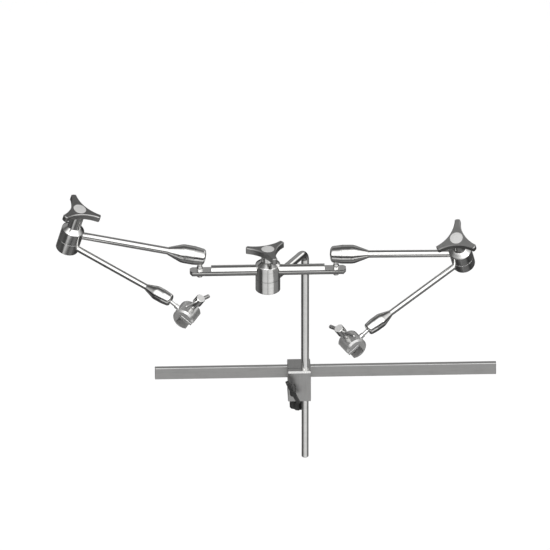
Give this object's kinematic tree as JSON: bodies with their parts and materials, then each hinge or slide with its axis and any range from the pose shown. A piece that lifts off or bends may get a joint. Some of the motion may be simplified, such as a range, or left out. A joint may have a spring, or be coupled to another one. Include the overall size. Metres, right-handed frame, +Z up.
{
  "type": "rail-mounted double articulated holding arm",
  "caption": "Articulated holding arms on a cross bar and bent post, clamped to a flat equipment rail; elbow knobs lock each arm and screw couplings hold instruments.",
  "frame": {"origin": "centre of the rail's back face, midway between its two mounting holes", "axes": "+X along the rail, +Y out of the rail's back face, +Z up along the post"},
  "size_m": [0.8906, 0.3756, 0.6709],
  "materials": {
    "rail_steel": "brushed",
    "block_steel": "satin",
    "polished_steel": "polished",
    "turned_steel": "fine turned",
    "knob_steel": "bead blasted",
    "cap_steel": "satin",
    "head_steel": "satin",
    "hidden_steel": "plain",
    "black_plastic": "matt",
    "black_paint": "satin black",
    "friction_disc": "plain"
  },
  "bodies": {
    "rail": {"rail_bar": "rail_steel"},
    "clamp": {"clamp_block": "block_steel"},
    "rail_jaw": {"rail_jaw": "block_steel"},
    "rail_knob": {"rail_knob_screw": "turned_steel", "rail_knob": "black_plastic"},
    "pinch_screw": {"pinch_screw_stud": "turned_steel", "pinch_wing": "black_paint"},
    "post_slide": {"post_lower_rod": "polished_steel"},
    "post": {"post_bent_rod": "polished_steel", "hub_lower": "turned_steel", "hub_friction_disc": "friction_disc", "hub_spindle": "hidden_steel"},
    "hub": {"hub_upper": "turned_steel", "cross_bar": "polished_steel"},
    "hub_knob": {"hub_knob": "knob_steel", "hub_knob_cap": "cap_steel"},
    "left_ball_a": {"left_ball_stud_a": "polished_steel", "left_stud_nut_a": "turned_steel"},
    "left_nose_a": {"left_nose_a": "turned_steel", "left_pressure_cup_a": "hidden_steel"},
    "left_upper_arm": {"left_barrel_a": "turned_steel", "left_upper_rod": "polished_steel", "left_push_rod_a": "hidden_steel", "left_elbow_upper": "turned_steel"},
    "left_lower_arm": {"left_elbow_lower": "turned_steel", "left_elbow_spindle": "hidden_steel", "left_lower_rod": "polished_steel", "left_push_rod_b": "hidden_steel", "left_barrel_b": "turned_steel"},
    "left_elbow_knob": {"left_elbow_knob": "knob_steel", "left_elbow_knob_cap": "cap_steel"},
    "left_nose_b": {"left_nose_b": "turned_steel", "left_pressure_cup_b": "hidden_steel"},
    "left_ball_b": {"left_ball_stud_b": "polished_steel"},
    "left_coupling": {"left_coupling_body": "head_steel"},
    "left_jaw": {"left_coupling_jaw": "head_steel"},
    "left_t_screw": {"left_t_screw": "polished_steel", "left_tommy_bar": "polished_steel"},
    "right_ball_a": {"right_ball_stud_a": "polished_steel", "right_stud_nut_a": "turned_steel"},
    "right_nose_a": {"right_nose_a": "turned_steel", "right_pressure_cup_a": "hidden_steel"},
    "right_upper_arm": {"right_barrel_a": "turned_steel", "right_upper_rod": "polished_steel", "right_push_rod_a": "hidden_steel", "right_elbow_upper": "turned_steel"},
    "right_lower_arm": {"right_elbow_lower": "turned_steel", "right_elbow_spindle": "hidden_steel", "right_lower_rod": "polished_steel", "right_push_rod_b": "hidden_steel", "right_barrel_b": "turned_steel"},
    "right_elbow_knob": {"right_elbow_knob": "knob_steel", "right_elbow_knob_cap": "cap_steel"},
    "right_nose_b": {"right_nose_b": "turned_steel", "right_pressure_cup_b": "hidden_steel"},
    "right_ball_b": {"right_ball_stud_b": "polished_steel"},
    "right_coupling": {"right_coupling_body": "head_steel"},
    "right_jaw": {"right_coupling_jaw": "head_steel"},
    "right_t_screw": {"right_t_screw": "polished_steel", "right_tommy_bar": "polished_steel"}
  },
  "joints": [
    {"name": "clamp_slide", "type": "slide", "parent": "rail", "child": "clamp", "axis": [1, 0, 0], "range_m": [-0.21, 0.31]},
    {"name": "jaw_lift", "type": "slide", "parent": "clamp", "child": "rail_jaw", "axis": [0, 0, -1], "range_m": [0, 0.0045]},
    {"name": "rail_knob_turn", "type": "hinge", "parent": "rail_jaw", "child": "rail_knob", "pos_m": [-0.0537, -0.005, -0.0467], "axis": [0, 0, -1], "range_deg": [-1080, 0]},
    {"name": "pinch_turn", "type": "hinge", "parent": "clamp", "child": "pinch_screw", "pos_m": [-0.0677, -0.048, -0.013], "axis": [0, -1, 0], "range_deg": [0, 180]},
    {"name": "post_height", "type": "slide", "parent": "clamp", "child": "post_slide", "axis": [0, 0, 1], "range_m": [0, 0.12]},
    {"name": "post_swivel", "type": "hinge", "parent": "post_slide", "child": "post", "pos_m": [-0.042, -0.032, 0.0205], "axis": [0, 0, 1], "continuous": true},
    {"name": "hub_swivel", "type": "hinge", "parent": "post", "child": "hub", "pos_m": [-0.12102, -0.16044, 0.3005], "axis": [0, 0, 1], "continuous": true},
    {"name": "hub_knob_turn", "type": "hinge", "parent": "post", "child": "hub_knob", "pos_m": [-0.12102, -0.16044, 0.3395], "axis": [0, 0, 1], "range_deg": [0, 180]},
    {"name": "left_yaw_a", "type": "hinge", "parent": "hub", "child": "left_ball_a", "pos_m": [-0.25802, -0.16044, 0.351], "axis": [0, 0, 1], "range_deg": [-120, 40]},
    {"name": "left_swing_a", "type": "hinge", "parent": "left_ball_a", "child": "left_nose_a", "pos_m": [-0.25802, -0.16044, 0.351], "axis": [-0.0453, 0.999, 0], "range_deg": [-15, 70]},
    {"name": "left_roll_a", "type": "hinge", "parent": "left_nose_a", "child": "left_upper_arm", "pos_m": [-0.25802, -0.16044, 0.351], "axis": [0.9705, 0.044, -0.2371], "range_deg": [-45, 45]},
    {"name": "left_elbow", "type": "hinge", "parent": "left_upper_arm", "child": "left_lower_arm", "pos_m": [-0.51617, -0.17215, 0.41407], "axis": [-0.2412, 0.1893, -0.9518], "range_deg": [-10, 140]},
    {"name": "left_elbow_knob_turn", "type": "hinge", "parent": "left_lower_arm", "child": "left_elbow_knob", "pos_m": [-0.51098, -0.17622, 0.43454], "axis": [0.2412, -0.1893, 0.9518], "range_deg": [0, 180]},
    {"name": "left_roll_b", "type": "hinge", "parent": "left_lower_arm", "child": "left_nose_b", "pos_m": [-0.32643, -0.27557, 0.31812], "axis": [0.834, -0.461, -0.303], "range_deg": [-90, 90]},
    {"name": "left_swing_b", "type": "hinge", "parent": "left_nose_b", "child": "left_ball_b", "pos_m": [-0.32643, -0.27557, 0.31812], "axis": [0.5412, 0.7902, 0.2874], "range_deg": [-15, 70]},
    {"name": "left_spin_b", "type": "hinge", "parent": "left_ball_b", "child": "left_coupling", "pos_m": [-0.30551, -0.28423, 0.30252], "axis": [0.7611, -0.315, -0.567], "range_deg": [-90, 90]},
    {"name": "left_jaw_slide", "type": "slide", "parent": "left_coupling", "child": "left_jaw", "axis": [-0.4572, 0.3596, -0.8134], "range_m": [-0.0015, 0.009]},
    {"name": "left_screw_turn", "type": "hinge", "parent": "left_jaw", "child": "left_t_screw", "pos_m": [-0.28838, -0.29132, 0.28976], "axis": [-0.4572, 0.3596, -0.8134], "range_deg": [-360, 2160]},
    {"name": "right_yaw_a", "type": "hinge", "parent": "hub", "child": "right_ball_a", "pos_m": [0.01598, -0.16044, 0.351], "axis": [0, 0, 1], "range_deg": [-40, 120]},
    {"name": "right_swing_a", "type": "hinge", "parent": "right_ball_a", "child": "right_nose_a", "pos_m": [0.01598, -0.16044, 0.351], "axis": [-0.1828, -0.9832, 0], "range_deg": [-15, 70]},
    {"name": "right_roll_a", "type": "hinge", "parent": "right_nose_a", "child": "right_upper_arm", "pos_m": [0.01598, -0.16044, 0.351], "axis": [-0.9791, 0.182, -0.091], "range_deg": [-45, 45]},
    {"name": "right_elbow", "type": "hinge", "parent": "right_upper_arm", "child": "right_lower_arm", "pos_m": [0.26565, -0.20685, 0.37421], "axis": [-0.1702, -0.4872, 0.8565], "range_deg": [-10, 140]},
    {"name": "right_elbow_knob_turn", "type": "hinge", "parent": "right_lower_arm", "child": "right_elbow_knob", "pos_m": [0.26199, -0.21733, 0.39262], "axis": [-0.1702, -0.4872, 0.8565], "range_deg": [0, 180]},
    {"name": "right_roll_b", "type": "hinge", "parent": "right_lower_arm", "child": "right_nose_b", "pos_m": [0.08134, -0.29643, 0.25628], "axis": [-0.8031, -0.4351, -0.4071], "range_deg": [-90, 90]},
    {"name": "right_swing_b", "type": "hinge", "parent": "right_nose_b", "child": "right_ball_b", "pos_m": [0.08134, -0.29643, 0.25628], "axis": [0.5778, -0.7356, -0.3537], "range_deg": [-15, 70]},
    {"name": "right_spin_b", "type": "hinge", "parent": "right_ball_b", "child": "right_coupling", "pos_m": [0.06057, -0.30514, 0.24049], "axis": [-0.755, -0.317, -0.574], "range_deg": [-90, 90]},
    {"name": "right_jaw_slide", "type": "slide", "parent": "right_coupling", "child": "right_jaw", "axis": [0.4629, 0.3624, -0.809], "range_m": [-0.0015, 0.009]},
    {"name": "right_screw_turn", "type": "hinge", "parent": "right_jaw", "child": "right_t_screw", "pos_m": [0.04359, -0.31228, 0.22758], "axis": [0.4629, 0.3624, -0.809], "range_deg": [-360, 2160]}
  ],
  "couplings": [
    {"joint": "rail_knob_turn", "follows": "jaw_lift", "rad_per_m": -4188.7},
    {"joint": "left_screw_turn", "follows": "left_jaw_slide", "rad_per_m": 4188.7},
    {"joint": "right_screw_turn", "follows": "right_jaw_slide", "rad_per_m": 4188.7}
  ]
}
